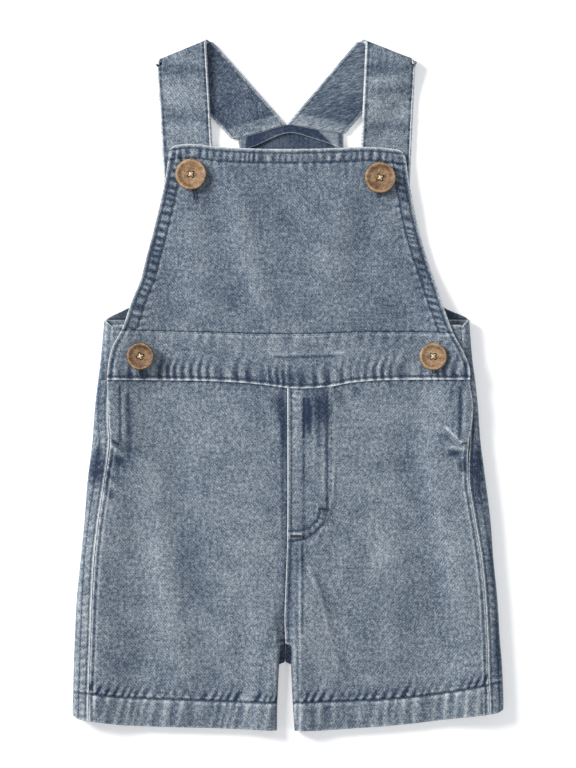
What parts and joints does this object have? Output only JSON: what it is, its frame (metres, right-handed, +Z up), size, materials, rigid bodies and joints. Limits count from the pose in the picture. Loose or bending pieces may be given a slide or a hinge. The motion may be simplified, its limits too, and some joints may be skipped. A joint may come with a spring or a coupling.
{
  "type": "denim shortalls laid flat",
  "caption": "Toddler's denim shortalls laid flat: bib with buttoned straps, waistband, side-buttoned openings and short hemmed legs.",
  "frame": {"origin": "bottom centre of the bounding box, on the surface it lies on", "axes": "+Y from the hems to the straps, +Z up out of the surface it lies on, +X to the wearer's left"},
  "size_m": [0.2798, 0.4489, 0.0121],
  "materials": {
    "denim": "stone-washed light blue denim twill, matte",
    "denim_inside": "unwashed navy inside of denim, matte",
    "strap_denim": "stone-washed denim, doubled, matte",
    "button_wood": "satin turned wood"
  },
  "bodies": {
    "root": {"bib": "denim", "waistband": "denim", "fly": "denim", "front_leg_right": "denim", "front_leg_left": "denim", "front_hem_right": "denim", "front_hem_left": "denim", "back_leg_right": "denim", "back_leg_left": "denim", "back_hem_right": "denim", "back_hem_left": "denim", "back_waistband": "denim", "back_bib": "denim", "underlap_right": "denim", "underlap_left": "denim", "back_facing": "denim_inside", "strap_right": "strap_denim", "strap_left": "strap_denim", "button_bib_right": "button_wood", "button_bib_left": "button_wood", "button_side_right": "button_wood", "button_side_left": "button_wood"}
  },
  "joints": []
}
